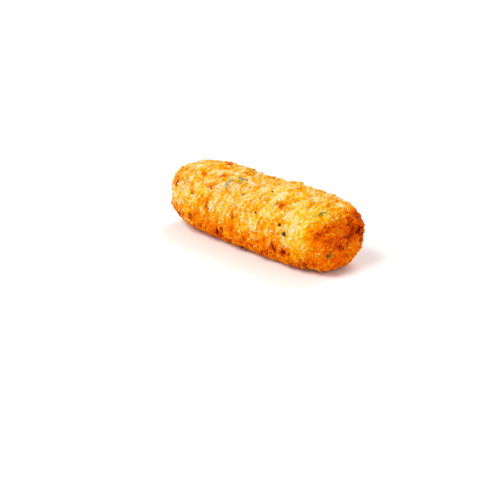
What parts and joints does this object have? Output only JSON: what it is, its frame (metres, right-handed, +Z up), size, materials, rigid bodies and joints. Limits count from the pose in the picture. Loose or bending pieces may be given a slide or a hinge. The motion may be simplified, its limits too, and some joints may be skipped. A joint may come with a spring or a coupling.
{
  "type": "breaded fried fish stick",
  "caption": "Thick fried fish stick: one finger of fillet in a craggy breadcrumb crust seasoned with herbs, pepper and chilli, lying on its flatter side.",
  "frame": {"origin": "on the surface that the stick lies on, below the middle of its bounding box", "axes": "+X along the stick, towards its blunter end; +Y towards its back; +Z up"},
  "size_m": [0.0874, 0.0324, 0.0282],
  "materials": {
    "crust": "fried breadcrumbs, slightly oily",
    "pale_crumb": "pale dry crumbs",
    "toasted_crumb": "dark toasted crumbs",
    "herb": "dried leaf",
    "chilli": "dried flake, slightly glossy",
    "pepper": "cracked pepper"
  },
  "bodies": {
    "root": {"fish_stick": "crust"}
  },
  "joints": []
}
